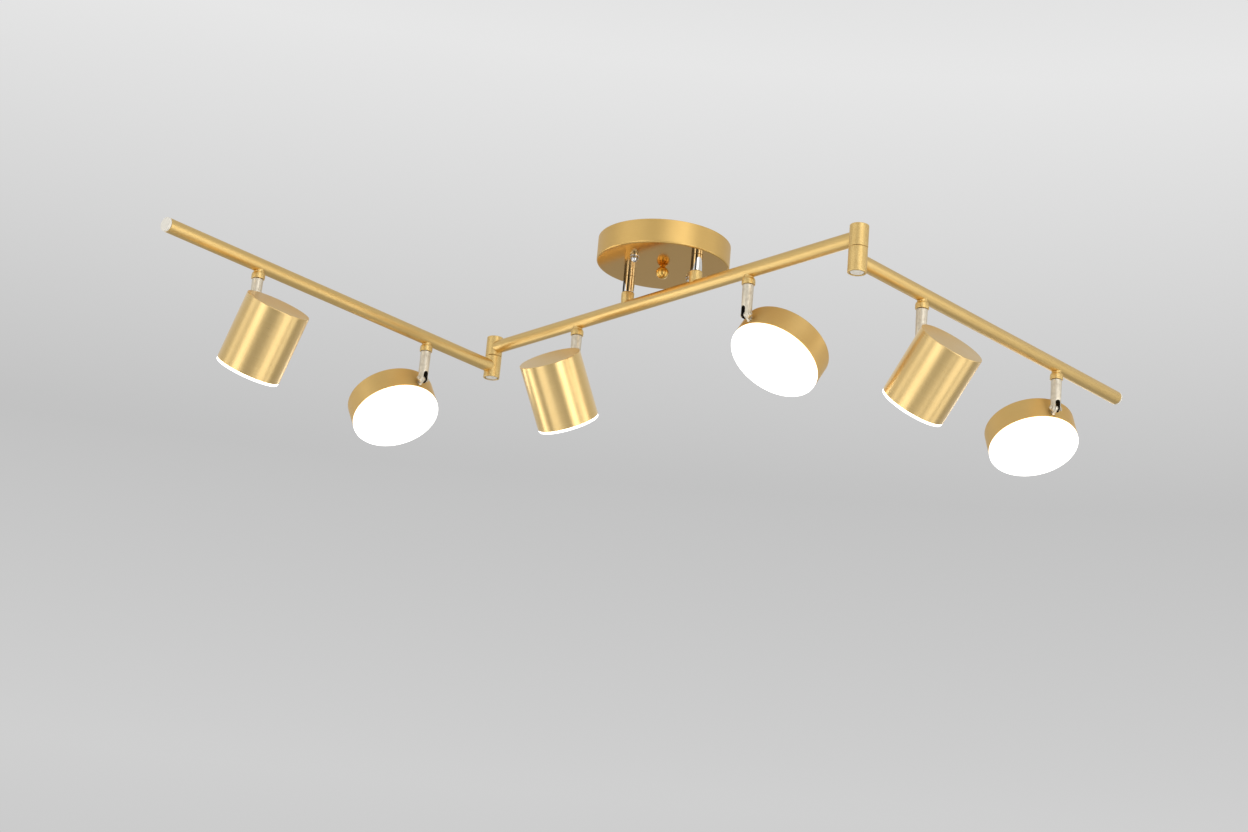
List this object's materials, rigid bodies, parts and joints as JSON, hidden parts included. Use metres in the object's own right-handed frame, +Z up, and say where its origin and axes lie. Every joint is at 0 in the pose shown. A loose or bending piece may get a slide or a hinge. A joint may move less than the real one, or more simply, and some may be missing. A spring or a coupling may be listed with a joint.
{
  "type": "track lighting fixture",
  "caption": "Zig-zag ceiling spot bar in satin brass with a round canopy, hinged side arms and swivelling disc and drum spot heads.",
  "frame": {"origin": "middle of the canopy, on the ceiling plane that the mounting strap is screwed to", "axes": "+Z up towards the ceiling, X along the fixed centre bar with the right-hand knuckle at +X, Y across it"},
  "size_m": [0.5985, 0.8157, 0.1891],
  "materials": {
    "satin_brass": "satin",
    "brushed_brass": "brushed",
    "chrome": "polished",
    "zinc_steel": "zinc plated",
    "opal_acrylic": "opal, lit",
    "cream_plastic": "satin",
    "led_board": "matte",
    "white_plastic": "matte",
    "grey_plastic": "matte"
  },
  "bodies": {
    "root": {"mounting_strap": "zinc_steel", "canopy_cover": "satin_brass", "canopy_screw_left": "chrome", "canopy_screw_right": "chrome", "finial_ball": "satin_brass", "led_driver": "white_plastic", "terminal_block": "grey_plastic", "post_sleeve_left": "chrome", "post_sleeve_right": "chrome", "post_nut_left": "zinc_steel", "post_nut_right": "zinc_steel", "centre_tube": "satin_brass", "knuckle_upper_left": "satin_brass", "knuckle_upper_right": "satin_brass", "knuckle_bolt_left": "zinc_steel", "knuckle_bolt_right": "zinc_steel"},
    "left_arm": {"knuckle_lower_left": "satin_brass", "arm_tube_left": "satin_brass", "end_cap_left": "cream_plastic", "knuckle_plug_left": "cream_plastic"},
    "right_arm": {"knuckle_lower_right": "satin_brass", "arm_tube_right": "satin_brass", "end_cap_right": "cream_plastic", "knuckle_plug_right": "cream_plastic"},
    "spot_1_swivel": {"spot_1_sleeve": "chrome", "spot_1_pivot_pin": "chrome"},
    "spot_1_head": {"spot_1_tongue": "chrome", "spot_1_housing": "brushed_brass", "spot_1_led_board": "led_board", "spot_1_diffuser": "opal_acrylic"},
    "spot_2_swivel": {"spot_2_sleeve": "chrome", "spot_2_pivot_pin": "chrome"},
    "spot_2_head": {"spot_2_tongue": "chrome", "spot_2_housing": "brushed_brass", "spot_2_led_board": "led_board", "spot_2_diffuser": "opal_acrylic"},
    "spot_3_swivel": {"spot_3_sleeve": "chrome", "spot_3_pivot_pin": "chrome"},
    "spot_3_head": {"spot_3_tongue": "chrome", "spot_3_housing": "brushed_brass", "spot_3_led_board": "led_board", "spot_3_diffuser": "opal_acrylic"},
    "spot_4_swivel": {"spot_4_sleeve": "chrome", "spot_4_pivot_pin": "chrome"},
    "spot_4_head": {"spot_4_tongue": "chrome", "spot_4_housing": "brushed_brass", "spot_4_led_board": "led_board", "spot_4_diffuser": "opal_acrylic"},
    "spot_5_swivel": {"spot_5_sleeve": "chrome", "spot_5_pivot_pin": "chrome"},
    "spot_5_head": {"spot_5_tongue": "chrome", "spot_5_housing": "brushed_brass", "spot_5_led_board": "led_board", "spot_5_diffuser": "opal_acrylic"},
    "spot_6_swivel": {"spot_6_sleeve": "chrome", "spot_6_pivot_pin": "chrome"},
    "spot_6_head": {"spot_6_tongue": "chrome", "spot_6_housing": "brushed_brass", "spot_6_led_board": "led_board", "spot_6_diffuser": "opal_acrylic"}
  },
  "joints": [
    {"name": "left_arm_swing", "type": "hinge", "parent": "root", "child": "left_arm", "pos_m": [-0.242, 0, -0.061], "axis": [0, 0, 1], "range_deg": [-180, 30]},
    {"name": "right_arm_swing", "type": "hinge", "parent": "root", "child": "right_arm", "pos_m": [0.242, 0, -0.061], "axis": [0, 0, 1], "range_deg": [-180, 30]},
    {"name": "spot_1_turn", "type": "hinge", "parent": "left_arm", "child": "spot_1_swivel", "pos_m": [-0.18904, -0.30037, -0.0847], "axis": [0, 0, 1], "range_deg": [-170, 170]},
    {"name": "spot_1_tilt", "type": "hinge", "parent": "spot_1_swivel", "child": "spot_1_head", "pos_m": [-0.18904, -0.30037, -0.1117], "axis": [0.0523, -0.9986, 0], "range_deg": [-58, 32]},
    {"name": "spot_2_turn", "type": "hinge", "parent": "left_arm", "child": "spot_2_swivel", "pos_m": [-0.22599, -0.0908, -0.0847], "axis": [0, 0, 1], "range_deg": [-170, 170]},
    {"name": "spot_2_tilt", "type": "hinge", "parent": "spot_2_swivel", "child": "spot_2_head", "pos_m": [-0.22599, -0.0908, -0.1117], "axis": [-0.0262, 0.9997, 0], "range_deg": [-58, 32]},
    {"name": "spot_3_turn", "type": "hinge", "parent": "root", "child": "spot_3_swivel", "pos_m": [-0.1144, 0, -0.065], "axis": [0, 0, 1], "range_deg": [-170, 170]},
    {"name": "spot_3_tilt", "type": "hinge", "parent": "spot_3_swivel", "child": "spot_3_head", "pos_m": [-0.1144, 0, -0.092], "axis": [-0.9703, -0.2419, 0], "range_deg": [-54, 36]},
    {"name": "spot_4_turn", "type": "hinge", "parent": "root", "child": "spot_4_swivel", "pos_m": [0.1144, 0, -0.065], "axis": [0, 0, 1], "range_deg": [-170, 170]},
    {"name": "spot_4_tilt", "type": "hinge", "parent": "spot_4_swivel", "child": "spot_4_head", "pos_m": [0.1144, 0, -0.092], "axis": [0.9998, -0.0175, 0], "range_deg": [-57, 33]},
    {"name": "spot_5_turn", "type": "hinge", "parent": "right_arm", "child": "spot_5_swivel", "pos_m": [0.23156, 0.09161, -0.0847], "axis": [0, 0, 1], "range_deg": [-170, 170]},
    {"name": "spot_5_tilt", "type": "hinge", "parent": "spot_5_swivel", "child": "spot_5_head", "pos_m": [0.23156, 0.09161, -0.1117], "axis": [-0.0523, -0.9986, 0], "range_deg": [-48, 42]},
    {"name": "spot_6_turn", "type": "hinge", "parent": "right_arm", "child": "spot_6_swivel", "pos_m": [0.20747, 0.30304, -0.0847], "axis": [0, 0, 1], "range_deg": [-170, 170]},
    {"name": "spot_6_tilt", "type": "hinge", "parent": "spot_6_swivel", "child": "spot_6_head", "pos_m": [0.20747, 0.30304, -0.1117], "axis": [0.3907, 0.9205, 0], "range_deg": [-64, 26]}
  ]
}
